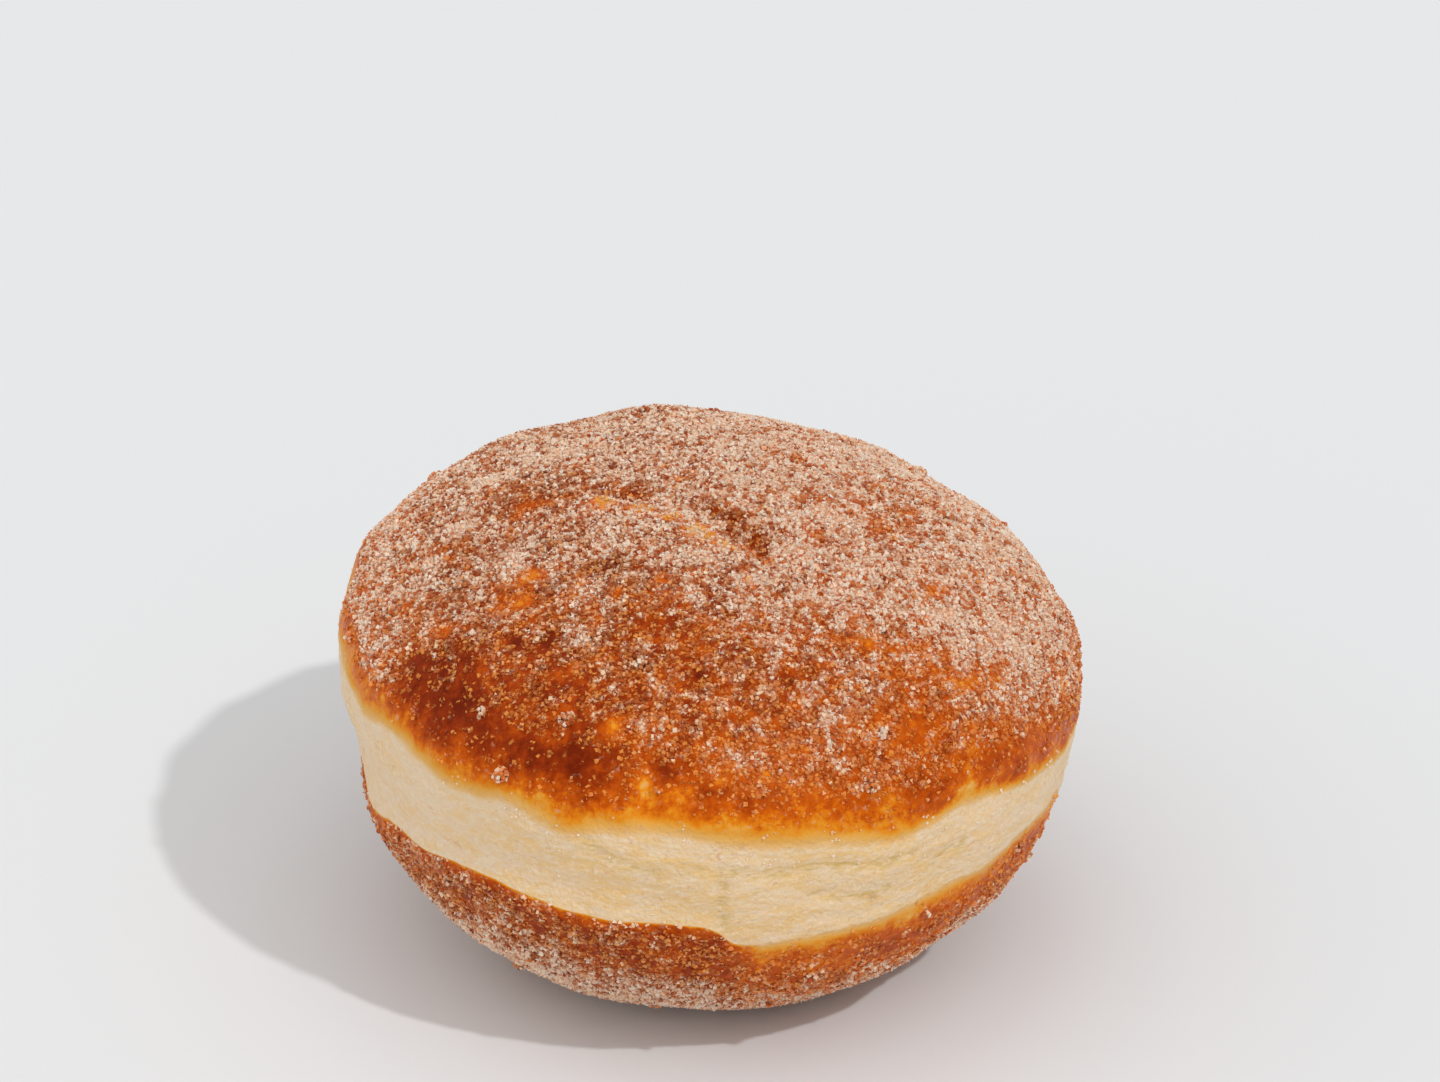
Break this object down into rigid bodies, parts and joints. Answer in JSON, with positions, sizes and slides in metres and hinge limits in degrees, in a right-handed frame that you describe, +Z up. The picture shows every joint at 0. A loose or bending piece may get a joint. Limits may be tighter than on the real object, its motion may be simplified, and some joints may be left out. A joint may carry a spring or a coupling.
{
  "type": "sugared round doughnut",
  "caption": "Round yeast doughnut without a hole, fried brown above and below a pale band, rolled in white sugar; rests on its flat base.",
  "frame": {"origin": "on the surface that the doughnut stands on, under the middle of its box", "axes": "+Z up from the base to the crown, -Y the side that shows the widest pale band, +X that side's right"},
  "size_m": [0.0903, 0.0901, 0.0604],
  "materials": {
    "sugared_crust": "matte"
  },
  "bodies": {
    "root": {"doughnut": "sugared_crust"}
  },
  "joints": []
}
